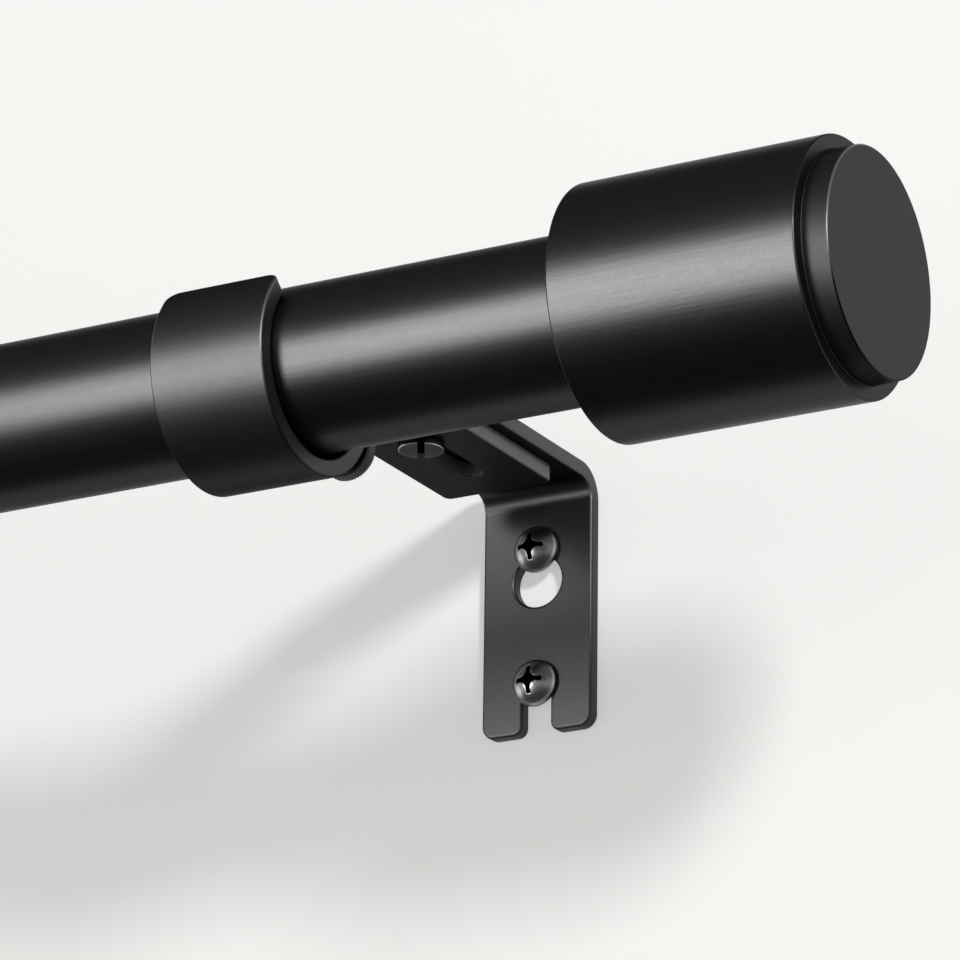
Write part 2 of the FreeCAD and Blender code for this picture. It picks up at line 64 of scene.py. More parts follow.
def hexColour(text):  # sRGB hex to the linear colour that shaders work in
    parts = [int(text[i:i + 2], 16) / 255 for i in (1, 3, 5)]
    return [p / 12.92 if p <= 0.04045 else ((p + 0.055) / 1.055) ** 2.4 for p in parts] + [1.0]


def addNode(tree, kind, settings=None, sockets=None):
    # Sets properties, then gives each named or numbered input its value or its link
    node = tree.nodes.new(kind)
    for name, value in (settings or {}).items():
        setattr(node, name, value)
    for name, value in (sockets or {}).items():
        if isinstance(value, bpy.types.NodeSocket):
            tree.links.new(value, node.inputs[name])
        else:
            node.inputs[name].default_value = value
    return node


def addMath(tree, operation, *values):
    return addNode(tree, "ShaderNodeMath", {"operation": operation}, dict(enumerate(values))).outputs[0]


def addObject(name, data):
    item = bpy.data.objects.new(name, data)
    bpy.context.scene.collection.objects.link(item)
    return item


def moved(x, y=0, z=0):  # a move in millimetres
    return Matrix.Translation((x * mm, y * mm, z * mm))


def newMaterial(name):
    material = bpy.data.materials.new(name)
    material.use_nodes = True
    material.node_tree.nodes.clear()
    return material, material.node_tree


# Camera below the rod, looking up at its fixed end
cameraSizes = {
    "place": (0.42127212, -0.76667366, -0.28905587),
    "azimuth": 29.4844,
    "elevation": 19.6851,
    "roll": -0.7828,
    "lens": 215.34,
    "sensor": 36,
    "clipStart": 0.01,
}


def addCamera(sizes):
    azimuth, elevation, roll = (math.radians(sizes[k]) for k in ("azimuth", "elevation", "roll"))
    ahead = Vector((-math.sin(azimuth) * math.cos(elevation),
                    math.cos(azimuth) * math.cos(elevation), math.sin(elevation)))
    level = Vector((math.cos(azimuth), math.sin(azimuth), 0))
    down = ahead.cross(level)
    right = math.cos(roll) * level + math.sin(roll) * down
    up = right.cross(ahead)
    data = bpy.data.cameras.new("camera")
    data.lens = sizes["lens"]
    data.sensor_width = sizes["sensor"]
    data.clip_start = sizes["clipStart"]
    camera = addObject("camera", data)
    turn = Matrix((right, up, -ahead)).transposed()
    camera.matrix_world = Matrix.Translation(sizes["place"]) @ turn.to_4x4()
    bpy.context.scene.camera = camera


addCamera(cameraSizes)
bpy.context.scene.view_settings.view_transform = "Standard"
print("camera placed")

# Light: a tall softbox on the far side for the streak along the rod, a smaller lamp on
# the near side, above, for the shadows on the wall, and a low one from the far left
lightSizes = {
    "softbox": {"toward": (-0.415, -0.91, -0.03), "distance": 2.0, "width": 0.7,
                "height": 1.48, "watts": 16, "spread": 110},
    "shadowLamp": {"toward": (0.96, -1.0, 0.455), "distance": 3.0, "width": 0.4,
                   "height": 0.4, "watts": 67, "spread": 180},
    "edgeLamp": {"toward": (-0.98, -0.12, -0.12), "distance": 1.4, "width": 0.5,
                 "height": 0.7, "watts": 3, "spread": 160},
}
lookedAt = Vector((0, -0.06, 0))


def addLamp(name, sizes):
    data = bpy.data.lights.new(name, "AREA")
    data.shape = "RECTANGLE"
    data.size = sizes["width"]
    data.size_y = sizes["height"]
    data.energy = sizes["watts"]
    data.spread = math.radians(sizes["spread"])
    lamp = addObject(name, data)
    toward = Vector(sizes["toward"]).normalized()
    lamp.location = lookedAt + toward * sizes["distance"]
    lamp.rotation_euler = toward.to_track_quat("Z", "Y").to_euler()
    lamp.visible_camera = False
    return lamp


lamps = {name: addLamp(name, sizes) for name, sizes in lightSizes.items()}

# World: its horizon's colour holds up to the palest height, its overhead colour from the dimmest
worldSizes = {"horizon": "#e2e2e0", "overhead": "#7c7c7e", "palest": 0.1, "dimmest": 0.5}


def addWorld(sizes):
    # Pale at the horizon, dimmer overhead and below, so that black paint keeps its dark sides
    world = bpy.data.worlds.new("studio")
    world.use_nodes = True
    tree = world.node_tree
    tree.nodes.clear()
    place = addNode(tree, "ShaderNodeTexCoord")
    split = addNode(tree, "ShaderNodeSeparateXYZ", sockets={0: place.outputs["Generated"]})
    level = addMath(tree, "ABSOLUTE", split.outputs["Z"])
    ramp = addNode(tree, "ShaderNodeMapRange", {"interpolation_type": "SMOOTHSTEP"},
                   {"Value": level, "From Min": sizes["palest"], "From Max": sizes["dimmest"]})
    tint = addNode(tree, "ShaderNodeMix", {"data_type": "RGBA"},
                   {"Factor": ramp.outputs[0], "A": hexColour(sizes["horizon"]),
                    "B": hexColour(sizes["overhead"])})
    back = addNode(tree, "ShaderNodeBackground", sockets={"Color": tint.outputs["Result"]})
    addNode(tree, "ShaderNodeOutputWorld", sockets={"Surface": back.outputs[0]})
    bpy.context.scene.world = world


addWorld(worldSizes)


def plane(name, corners, material):
    mesh = bpy.data.meshes.new(name)
    mesh.from_pydata(corners, [], [(0, 1, 2, 3)])
    mesh.materials.append(material)
    piece = addObject(name, mesh)
    return piece


def wallPaint(name, paintColour, glowColour, glow, mirrored):
    # Matt wall paint: even and chalky, and clear from behind, so that it hides nothing there.
    # The camera sees its glow added to it, and reflections see the mirrored glow.
    material, tree = newMaterial(name)
    side = addNode(tree, "ShaderNodeNewGeometry")
    path = addNode(tree, "ShaderNodeLightPath")
    seen = addMath(tree, "MAXIMUM", path.outputs["Is Glossy Ray"], path.outputs["Is Transmission Ray"])
    direct = addMath(tree, "MULTIPLY", path.outputs["Is Camera Ray"], glow)
    strength = addMath(tree, "MULTIPLY_ADD", seen, mirrored, direct)
    light = addNode(tree, "ShaderNodeEmission",
                    sockets={"Color": hexColour(glowColour), "Strength": strength})
    paint = addNode(tree, "ShaderNodeBsdfPrincipled",
                    sockets={"Base Color": hexColour(paintColour), "Roughness": 0.85,
                             "Specular IOR Level": 0.2})
    pale = addNode(tree, "ShaderNodeAddShader", sockets={0: paint.outputs[0], 1: light.outputs[0]})
    clear = addNode(tree, "ShaderNodeBsdfTransparent")
    both = addNode(tree, "ShaderNodeMixShader",
                   sockets={0: side.outputs["Backfacing"], 1: pale.outputs[0], 2: clear.outputs[0]})
    addNode(tree, "ShaderNodeOutputMaterial", sockets={"Surface": both.outputs[0]})
    return material


# Stage: a strip of wall behind the rod, and a floor far below it
stageSizes = {"left": -0.78, "right": 0.30, "foot": -0.135, "top": 0.15,
              "floorLevel": -1.3, "floorReach": 2.2}


def makeStage(sizes):
    left, right, foot, top = (sizes[k] for k in ("left", "right", "foot", "top"))
    low, reach = sizes["floorLevel"], sizes["floorReach"]
    wall = plane("wall", [(left, 0, foot), (right, 0, foot), (right, 0, top), (left, 0, top)],
                 wallPaint("matt wall paint", "#c0c0be", "#f6f6f4", glow=0.49, mirrored=0.49))
    floor = plane("floor", [(-reach, -reach, low), (reach, -reach, low),
                            (reach, reach, low), (-reach, reach, low)],
                  wallPaint("pale floor paint", "#555552", "#f0f0ec", glow=0.5, mirrored=0))
    return wall, floor


def keepFrom(lampNames, pieces):
    # The lamps light everything but these pieces, which still cast their shadows
    kept = bpy.data.collections.new("unlit by " + " and ".join(lampNames))
    for piece in pieces:
        kept.objects.link(piece)
    for item in kept.collection_objects:
        item.light_linking.link_state = "EXCLUDE"
    for name in lampNames:
        lamps[name].light_linking.receiver_collection = kept


keepFrom(("softbox", "edgeLamp"), makeStage(stageSizes))
print("studio ready")

# Patterns shared by the black finishes: a streak's length in widths, the grit's fineness and
# height against the peel's, the streaks' share in the gloss, the range of that mix, and how
# far gloss and tone swing. Real grit and draw lines are finer than 0.1 mm. Both are drawn
# coarser, or they wouldn't show.
coatSizes = {"streakRun": 30, "gritFineness": 4, "gritHeight": 0.3, "streakGloss": 0.5,
             "glossFrom": 0.45, "glossTo": 1.05, "glossSwing": 0.035, "toneSwing": 0.06}


def satinBlack(name, base, edgeOn, roughness, metallic=1, peel=1.1, peelHeight=0.004, streak=0.35,
               streakHeight=0.0, shadeBelow=None):
    # Black finish from three patterns, in mm: orange peel, fine grit, and streaks along the rod.
    # edgeOn is the gloss seen edge-on, which grit keeps weaker than a smooth coat's. The fade is
    # painted shade: a darker colour below, and the heights in mm between which it gives way to
    # the base.
    material, tree = newMaterial(name)
    sizes = coatSizes
    spot = addNode(tree, "ShaderNodeTexCoord").outputs["Object"]
    across = streak * mm
    drawn = addNode(tree, "ShaderNodeMapping", {"vector_type": "TEXTURE"},
                    {"Vector": spot, "Scale": (sizes["streakRun"] * across, across, across)})
    lines, waves, grit = (
        addNode(tree, "ShaderNodeTexNoise",
                sockets={"Vector": vector, "Scale": scale, "Detail": detail}).outputs["Fac"]
        for vector, scale, detail in ((drawn.outputs[0], 1.0, 2.0), (spot, 1 / (peel * mm), 1.0),
                                      (spot, sizes["gritFineness"] / (peel * mm), 2.0)))
    skin = addMath(tree, "MULTIPLY_ADD", grit, sizes["gritHeight"], waves)
    peeled = addNode(tree, "ShaderNodeBump",
                     sockets={"Strength": 1.0, "Distance": peelHeight * mm, "Height": skin})
    bumped = addNode(tree, "ShaderNodeBump",
                     sockets={"Strength": 1.0, "Distance": streakHeight * mm, "Height": lines,
                              "Normal": peeled.outputs[0]})
    mixed = addMath(tree, "MULTIPLY_ADD", lines, sizes["streakGloss"], grit)
    gloss = addNode(tree, "ShaderNodeMapRange",
                    sockets={"Value": mixed, "From Min": sizes["glossFrom"],
                             "From Max": sizes["glossTo"], "To Min": roughness - sizes["glossSwing"],
                             "To Max": roughness + sizes["glossSwing"]})
    middle, swing = hexColour(base)[:3], sizes["toneSwing"]
    tone = addNode(tree, "ShaderNodeMix", {"data_type": "RGBA"},
                   {"Factor": waves, "A": [c * (1 - swing) for c in middle] + [1],
                    "B": [c * (1 + swing) for c in middle] + [1]})
    # Painted shade: the colour darkens below the given heights
    if shadeBelow:
        below, low, high = shadeBelow
        split = addNode(tree, "ShaderNodeSeparateXYZ", sockets={"Vector": spot})
        rise = addNode(tree, "ShaderNodeMapRange",
                       sockets={"Value": split.outputs["Z"], "From Min": low * mm, "From Max": high * mm})
        tone = addNode(tree, "ShaderNodeMix", {"data_type": "RGBA"},
                       {"Factor": rise.outputs[0], "A": hexColour(below), "B": tone.outputs["Result"]})
    shader = addNode(tree, "ShaderNodeBsdfPrincipled",
                     sockets={"Base Color": tone.outputs["Result"], "Metallic": metallic,
                              "Specular Tint": hexColour(edgeOn), "Roughness": gloss.outputs[0],
                              "Normal": bumped.outputs[0]})
    addNode(tree, "ShaderNodeOutputMaterial", sockets={"Surface": shader.outputs[0]})
    return material


onEdges = {"peel": 0.7, "streak": 0.5}
plating = {"peel": 0.6, "peelHeight": 0.003, "streak": 0.5}
finishes = {
    # Satin powder coat baked on drawn steel tube: deep black, one broad soft streak of light
    "rod": satinBlack("satin black powder coat on tube", "#404040", "#bababa", 0.36,
                      streakHeight=0.006),
    # The same coat on spun steel caps, laid on smoother: a brighter streak, finely drawn
    "cap": satinBlack("satin black powder coat on spun cap", "#3e3e3e", "#bebebe", 0.335,
                      streakHeight=0.008),
    # The same coat on the caps' flat ends: an even grey from any side
    "capFace": satinBlack("satin black powder coat on flat end", "#424243", "#cccccc", 0.4, streak=0.4),
    # The same coat on the end disc's turned edge, rougher: the streak spreads and dims
    "disc": satinBlack("satin black powder coat on turned disc edge", "#3c3c3c", "#909090", 0.5,
                       peelHeight=0.006, streak=0.4),
    # The same coat on the rolled hook, a little rougher: soft greys with faint streaks
    "strip": satinBlack("satin black powder coat on rolled strip", "#444444", "#a0a0a0", 0.41,
                        streakHeight=0.009),
    # The same coat on the flat bracket: soft, even greys
    "flatStrip": satinBlack("satin black powder coat on flat strip", "#444444", "#a0a0a0", 0.41,
                            streakHeight=0.001),
    # Coat drawn thin over the bracket's rounded edges, rougher and painted slightly paler: a soft line,
    # partly painted highlight
    "rim": satinBlack("powder coat drawn thin on rounded edge", "#484848", "#989898", 0.48, **onEdges),
    # Painted highlight on the hook's tight edges: a fine bright line where light catches it, with painted
    # shade below
    "paintedHighlightRim": satinBlack("powder coat worn thin on hook edge", "#747474", "#c8c8c8", 0.4,
                            shadeBelow=("#2c2c2c", 4, 17), **onEdges),
    # Painted highlight on the end disc's corner: a crisp pale line on its upper side, with painted shade
    # below
    "paintedHighlightDisc": satinBlack("handled powder coat on disc corner", "#888888", "#c8c8c8", 0.34,
                          shadeBelow=("#1c1c1c", 5, 18), **onEdges),
    # Painted light on the bracket arm's sheared edges: paler than the coat, darkening towards the plate
    # below as painted shade
    "edge": satinBlack("thin powder coat on sheared edge", "#606060", "#c8c8c8", 0.45,
                       streakHeight=0.001, shadeBelow=("#303030", 8, 22), **onEdges),
    # Painted light on the strap's sheared edges: the palest of the edges
    "paintedLightEdge": satinBlack("rubbed powder coat on strap edge", "#545454", "#ffffff", 0.45, metallic=0,
                           streakHeight=0.001, **onEdges),
    # Painted shade on the hook's and the plate's sheared sides: near black
    "paintedShadeEdge": satinBlack("full powder coat on sheared edge", "#121212", "#ffffff", 0.5, metallic=0,
                           streakHeight=0.001, **onEdges),
    # Black zinc plate on screw steel: brighter, with soft glints
    "screw": satinBlack("black zinc plate on screw steel", "#868684", "#d8d8d8", 0.33, **plating),
    # The clamp screw's plate: darker, with faint glints
    "darkScrew": satinBlack("dark zinc plate on clamp screw", "#4c4c4c", "#b0b0b0", 0.33, **plating),
    # Painted highlight round the heads' rims: a thin light line
    "paintedHighlightScrewRim": satinBlack("worn zinc on screw rim", "#b4b4b2", "#e0e0e0", 0.34, **plating),
    # Painted shade in a driver recess: black, no glint at all
    "recess": satinBlack("unlit black zinc in recess", "#080808", "#202020", 0.6, **plating),
    # Rolled knurl under black zinc: a dark, grainy rim
    "knurl": satinBlack("black zinc on rolled knurl", "#585858", "#a0a0a0", 0.42,
                        peel=0.4, peelHeight=0.03, streak=0.5),
    # Moulded nylon: dull black with faint sheen
    "nylon": satinBlack("moulded black nylon", "#121212", "#ffffff", 0.5, metallic=0,
                        peel=0.8, streak=0.5),
}
bodyOfNode = {node: body for body, members in frame["record"]["behaviour"]["bodies"].items()
              for node in members}
print("finishes ready:", len(finishes))


def addCoats(mesh, names):
    for name in names:
        mesh.materials.append(finishes[name])


def dress(node, mesh, place):
    # Turns a finished mesh into the piece that stands for a CAD node
    mesh.transform(place)
    mesh.update()
    piece = addObject(f"{node}_finished", mesh)
    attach(piece, bodyOfNode[node])
    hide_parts(node)


def plainMesh(piece):
    # Evaluates the modifiers into a plain mesh and drops the object that carried them
    graph = bpy.context.evaluated_depsgraph_get()
    mesh = bpy.data.meshes.new_from_object(piece.evaluated_get(graph), preserve_all_data_layers=True,
                                           depsgraph=graph)
    bpy.data.objects.remove(piece)
    return mesh


# How finely round forms are drawn: arcs, rounded edges and a thread's turns by steps, bends by
# degrees, turned pieces by sides. Points nearer than the nearest are one point.
fineness = {"chord": 0.35, "fewestSteps": 4, "mostSteps": 28, "nearest": 1e-4, "onAxis": 1e-6,
            "edgeSteps": 4, "bendStep": 4, "cutMargin": 1e-5, "sides": 144, "capSides": 192,
            "screwSides": 64, "threadSteps": 22}


def arc(centre, radius, start, sweep):
    # Points on an arc, each with the direction of travel
    steps = math.ceil(abs(sweep) * radius / fineness["chord"])
    steps = max(fineness["fewestSteps"], min(fineness["mostSteps"], steps))
    side = math.copysign(math.pi / 2, sweep)
    path = []
    for k in range(steps + 1):
        angle = start + sweep * k / steps
        path.append((Vector((centre[0] + radius * math.cos(angle), centre[1] + radius * math.sin(angle))),
                     Vector((math.cos(angle + side), math.sin(angle + side)))))
    return path


def roundedPath(corners, closed=True):
    # Corners are (along, across, radius); each one with a radius becomes a tangent arc
    path = []
    for i, (x, y, radius) in enumerate(corners):
        here = Vector((x, y))
        before, after = Vector(corners[i - 1][:2]), Vector(corners[(i + 1) % len(corners)][:2])
        if not closed and i in (0, len(corners) - 1):
            path.append((here, (after - here if i == 0 else here - before).normalized()))
            continue
        back, on = (before - here).normalized(), (after - here).normalized()
        half = back.angle(on) / 2
        centre = here + (back + on).normalized() * radius / math.sin(half)
        first = here + back * radius / math.tan(half) - centre
        sweep = math.copysign(math.pi - 2 * half, -(back.x * on.y - back.y * on.x))
        path += arc(centre, radius, math.atan2(first.y, first.x), sweep)
    return [step for i, step in enumerate(path)
            if (step[0] - path[i - 1][0]).length > fineness["nearest"] or (i == 0 and not closed)]


def turnsLeft(path):
    # True for a path that runs anticlockwise round its area
    points = [point for point, way in path]
    return sum(a.x * b.y - a.y * b.x for a, b in zip(points, points[1:] + points[:1])) > 0


def smoothMesh(name, verts, faces, normals):
    # Turns millimetres into a mesh in metres, with exact normals where they are given
    mesh = bpy.data.meshes.new(name)
    mesh.from_pydata([Vector(v) * mm for v in verts], [], faces)
    mesh.polygons.foreach_set("use_smooth", [True] * len(mesh.polygons))
    if normals:
        mesh.normals_split_custom_set_from_vertices([Vector(n).normalized() for n in normals])
    return mesh


def turned(name, corners, finish, closed=True, sides=fineness["sides"], exact=True):
    # Spins a profile (along, radius, edge radius) about the X axis. A point on the axis stays one.
    path = roundedPath(corners, closed)
    out = 1 if turnsLeft(path) else -1
    verts, normals, rings = [], [], []
    for point, way in path:
        count = 1 if point.y < fineness["onAxis"] else sides
        rings.append([len(verts) + k for k in range(count)])
        for k in range(count):
            turn = 2 * math.pi * k / sides
            verts.append((point.x, point.y * math.cos(turn), point.y * math.sin(turn)))
            normals.append((out * way.y, -out * way.x * math.cos(turn), -out * way.x * math.sin(turn)))
            if count == 1:
                normals[-1] = (out * way.y, 0, 0)
    faces = []
    for one, two in zip(rings, rings[1:] + (rings[:1] if closed else [])):
        for k in range(sides):
            after = k + 1
            face = [one[k % len(one)], two[k % len(two)], two[after % len(two)], one[after % len(one)]]
            face = list(dict.fromkeys(face))
            faces.append(face if out > 0 else face[::-1])
    mesh = smoothMesh(name, verts, faces, normals if exact else None)
    addCoats(mesh, [finish])
    return mesh


# Rod: two tubes, the ring in the outer one's mouth and the guide on the inner one's end
rodSizes = {
    "axis": (-85, 13.2), "outerRadius": 12.7, "innerRadius": 11.1, "wall": 0.8,
    "outerSpan": (-491, 82.75), "innerSpan": (-593.45, 76.55), "cutEdge": 0.25,
    "ringLip": 1.2, "ringDepth": 14, "ringBore": 11.18, "ringSleeve": 11.85,
    "guideDepth": 12, "guideLip": 3, "guideBore": 8.85, "guideSpigot": 10.25, "guideFlange": 11.82,
    "mouldedEdge": 0.3, "sleeveEdge": 0.2, "flangeEdge": 0.1, "shoulderFillet": 0.05,
}
onRod = moved(0, *rodSizes["axis"])


def makeTubes(sizes):
    edge = sizes["cutEdge"]
    for node, radius, (start, end) in (("outer_tube", sizes["outerRadius"], sizes["outerSpan"]),
                                       ("inner_tube", sizes["innerRadius"], sizes["innerSpan"])):
        bore = radius - sizes["wall"]
        loop = [(start, bore, edge), (start, radius, edge), (end, radius, edge), (end, bore, edge)]
        dress(node, turned(node, loop, "rod"), onRod)


def makeSleeves(sizes):
    edge, fine, fillet = (sizes[k] for k in ("mouldedEdge", "sleeveEdge", "shoulderFillet"))
    lip, depth, bore, sleeve = (sizes[k] for k in ("ringLip", "ringDepth", "ringBore", "ringSleeve"))
    outer = sizes["outerRadius"]
    mouth = [(-lip, bore, fine), (-lip, outer, edge), (0, outer, fillet), (0, sleeve, fillet),
             (depth, sleeve, fine), (depth, bore, fine)]
    at = onRod @ moved(sizes["outerSpan"][0])
    dress("tube_mouth_ring", turned("ring", mouth, "nylon"), at)
    lip, depth, bore, spigot = (sizes[k] for k in ("guideLip", "guideDepth", "guideBore", "guideSpigot"))
    flange = sizes["guideFlange"]
    guide = [(-depth, bore, fine), (-depth, spigot, fine), (0, spigot, fillet),
             (0, flange, sizes["flangeEdge"]), (lip, flange, edge), (lip, bore, edge)]
    at = onRod @ moved(sizes["innerSpan"][1])
    dress("inner_tube_guide", turned("guide", guide, "nylon"), at)


makeTubes(rodSizes)
makeSleeves(rodSizes)
print("tubes made")

# Finials: a spun cap with a raised end, over a moulded core that grips the tube. A cap's face
# is a flat end where its normal's X is past faceSlant, from faceBelow under the step upward.
finialSizes = {
    "right": 56.75, "left": -567.45, "radius": 19.25, "length": 39.3, "discRadius": 17,
    "discHeight": 4.1, "wall": 1.3, "rimEdge": 0.3, "discEdge": 0.22, "stepFillet": 0.12,
    "innerFillet": 0.5, "faceBelow": 0.5, "faceSlant": 0.99,
    "setback": 0.9, "seat": 26, "web": 2.5, "skin": 1.9, "coreRadius": 17.9, "coreEdge": 0.3,
    "coreFillet": 0.2, "bore": {"right": 12.75, "left": 11.15},
}


def makeFinials(sizes):
    # The cap's coats: its side, then the disc's edge, the disc's corner with its painted highlight, and the
    # flat ends
    radius, length, disc, wall = (sizes[k] for k in ("radius", "length", "discRadius", "wall"))
    total, bore = length + sizes["discHeight"], radius - wall
    rim, corner, inner = sizes["rimEdge"], sizes["discEdge"], sizes["innerFillet"]
    cap = [(total, 0, 0), (total, disc, corner), (length, disc, sizes["stepFillet"]),
           (length, radius, rim), (0, radius, rim), (0, bore, rim), (length - wall, bore, inner),
           (length - wall, disc - wall, inner), (total - wall, disc - wall, inner), (total - wall, 0, 0)]
    front, back, skin = sizes["setback"], sizes["seat"] + sizes["web"], sizes["skin"]
    outside, edge = sizes["coreRadius"], sizes["coreEdge"]
    for side, grip in sizes["bore"].items():
        place = moved(sizes[side])
        if side == "left":
            place = place @ Matrix.Rotation(math.pi, 4, "Z")
        mesh = turned(f"{side}Cap", cap, "cap", closed=False, sides=fineness["capSides"])
        addCoats(mesh, ("disc", "paintedHighlightDisc", "capFace"))
        for polygon in mesh.polygons:
            x, y, z = polygon.center / mm
            if x > length and math.hypot(y, z) > disc - corner:
                polygon.material_index = 1 if x < total - corner else 2
            if x > length - sizes["faceBelow"] and polygon.normal.x > sizes["faceSlant"]:
                polygon.material_index = 3
        dress(f"{side}_finial_cap", mesh, onRod @ place)
        core = [(back, 0, 0), (back, grip + skin, edge), (front + skin, grip + skin, edge),
                (front + skin, outside - skin, edge), (back, outside - skin, sizes["coreFillet"]),
                (back, outside, edge), (front, outside, edge), (front, grip, edge),
                (sizes["seat"], grip, edge), (sizes["seat"], 0, 0)]
        mesh = turned(f"{side}Core", core, "nylon", closed=False)
        dress(f"{side}_finial_core", mesh, onRod @ place)


makeFinials(finialSizes)
print("finials made")


def alongPath(path, distance):
    # Point and heading in the YZ plane at a distance along runs of (length, turn)
    y, z = path["start"]
    heading = path["heading"]
    for length, turn in path["runs"]:
        step = max(0.0, min(distance, length))
        swing = turn * step / length
        if turn:
            y += length / turn * (math.sin(heading + swing) - math.sin(heading))
            z += length / turn * (math.cos(heading) - math.cos(heading + swing))
        else:
            y += step * math.cos(heading)
            z += step * math.sin(heading)
        heading += swing
        distance -= length
        if distance <= 0:
            break
    return (y, z), heading


def bentSheet(name, outline, holes, thickness, edge, path, reach, coats):
    # A flat blank with rounded edges, cut across its bends and then wrapped on its path. Its
    # coats are for the faces, the edges and rims past the reach, and those before it.
    verts, normals, faces, walls = [], [], [], []
    rims = {1: [], -1: []}
    steps = fineness["edgeSteps"]
    for loop in [outline] + holes:
        count = len(loop)
        base = len(verts)
        for k in range(2 * steps + 2):
            lift = k if k <= steps else k - 1
            tilt = math.pi / 2 * (1 - lift / steps)
            face = 1 if k <= steps else -1
            for point, way in loop:
                out = Vector((way.y, -way.x))
                spot = point - out * edge * (1 - math.cos(tilt))
                level = face * (thickness / 2 - edge * (1 - abs(math.sin(tilt))))
                verts.append((spot.x, spot.y, level))
                normals.append((out.x * math.cos(tilt), out.y * math.cos(tilt), math.sin(tilt)))
        for k in range(2 * steps + 1):
            for i in range(count):
                j = (i + 1) % count
                row, after = base + k * count, base + (k + 1) * count
                faces.append((row + i, after + i, after + j, row + j))
                walls.append(1 if k == steps else 2 if loop is outline else 0)
        rims[1].append([base + i for i in range(count)])
        rims[-1].append([base + (2 * steps + 1) * count + i for i in range(count)])
    for face, loops in rims.items():
        order = [i for loop in loops for i in loop]
        for three in tessellate_polygon([[Vector(verts[i]) for i in loop] for loop in loops]):
            a, b, c = (Vector(verts[order[i]]) for i in three)
            up = (b - a).cross(c - a).z * face > 0
            faces.append([order[i] for i in (three if up else three[::-1])])
            walls.append(0)
    sheet = bmesh.new()
    layer = sheet.verts.layers.float_vector.new("flatNormal")
    for spot, normal in zip(verts, normals):
        sheet.verts.new(spot)[layer] = normal
    sheet.verts.ensure_lookup_table()
    for corners, wall in zip(faces, walls):
        sheet.faces.new([sheet.verts[i] for i in corners]).material_index = wall
    start = 0
    for length, turn in path["runs"]:
        count = math.ceil(abs(turn) / math.radians(fineness["bendStep"])) if turn else 1
        for k in range(count + 1):
            cut = start + length * k / count
            bmesh.ops.bisect_plane(sheet, geom=sheet.verts[:] + sheet.edges[:] + sheet.faces[:],
                                   dist=fineness["cutMargin"], plane_co=(cut, 0, 0),
                                   plane_no=(1, 0, 0))
        start += length
    coat = [face.material_index + (2 if face.material_index and face.calc_center_median().x < reach else 0)
            for face in sheet.faces]
    bent = []
    for vert in sheet.verts:
        distance, across, level = vert.co
        (y, z), heading = alongPath(path, distance)
        ahead = Vector((0, math.cos(heading), math.sin(heading)))
        up = Vector((0, math.sin(heading), -math.cos(heading)))
        flat = Vector(vert[layer])
        bent.append(ahead * flat.x + Vector((flat.y, 0, 0)) + up * flat.z)
        vert.co = (Vector((across, y, z)) + up * level) * mm
    for face, wall in zip(sheet.faces, coat):
        face.material_index = wall
    mesh = bpy.data.meshes.new(name)
    sheet.to_mesh(mesh)
    sheet.free()
    mesh.attributes.remove(mesh.attributes["flatNormal"])
    mesh.polygons.foreach_set("use_smooth", [True] * len(mesh.polygons))
    mesh.normals_split_custom_set_from_vertices([normal.normalized() for normal in bent])
    addCoats(mesh, coats)
    return mesh


def around(loop):
    # A hole's outline, run clockwise so that its walls face into the hole
    return [(point, -way) for point, way in reversed(loop)] if turnsLeft(loop) else loop


def ring(along, across, radius):
    return around(arc((along, across), radius, 0, 2 * math.pi)[:-1])


# Cradle: one strip, slotted strap at the wall end and an open hook round the rod
cradleSizes = {
    "width": 19.3, "thickness": 2.8, "edge": 0.32, "strapReach": 72.9, "strapHeight": 6.95,
    "hookRadius": 13.37, "hookBend": 1.5, "lipAngle": 46.5, "strapCorner": 1.3, "lipCorner": 2.2,
    "slotNear": 39, "slotFar": 62.7, "slotWidth": 4.6, "tapRadius": 2.06, "droop": 7.5,
    "along": {"right": -1.95, "left": -512.65}, "shift": {"right": 0.37, "left": 1.97},
}


def makeCradles(sizes):
    half, thick = sizes["width"] / 2, sizes["thickness"]
    ringRadius, bend = sizes["hookRadius"] + thick / 2, sizes["hookBend"] + thick / 2
    rise = sizes["strapHeight"] - bend
    bendAt = math.sqrt((ringRadius + bend) ** 2 - rise ** 2)
    meet = math.atan2(rise, bendAt)
    lip, droop = math.radians(sizes["lipAngle"]), math.radians(sizes["droop"])
    straight, turn, wrap = sizes["strapReach"] - bendAt, math.pi / 2 + meet, math.pi + lip + meet
    path = {"start": (sizes["strapReach"], sizes["strapHeight"]), "heading": math.pi,
            "runs": [(straight, 0), (turn * bend, turn), (wrap * ringRadius, -wrap)]}
    length = straight + turn * bend + wrap * ringRadius
    a, b = sizes["strapCorner"], sizes["lipCorner"]
    outline = roundedPath([(0, -half, a), (length, -half, b), (length, half, b), (0, half, a)])
    reach, r = sizes["strapReach"], sizes["slotWidth"] / 2
    near, far = reach - sizes["slotNear"] + r, reach - sizes["slotFar"] - r
    slot = around(roundedPath([(far, -r, r), (near, -r, r), (near, r, r), (far, r, r)]))
    tapped = ring(straight + turn * bend + (meet + droop) * ringRadius, 0, sizes["tapRadius"])
    for side in ("right", "left"):
        # The hook's rounded edges get a painted highlight, its sides painted shade, and the strap's edges
        # painted light
        mesh = bentSheet(f"{side}Cradle", outline, [slot, tapped], thick, sizes["edge"], path, straight,
                         ("strip", "paintedShadeEdge", "paintedHighlightRim", "paintedLightEdge", "paintedLightEdge"))
        shift = sizes["shift"][side]
        place = moved(sizes["along"][side], shift * math.cos(droop), -shift * math.sin(droop))
        dress(f"{side}_cradle", mesh, onRod @ place)


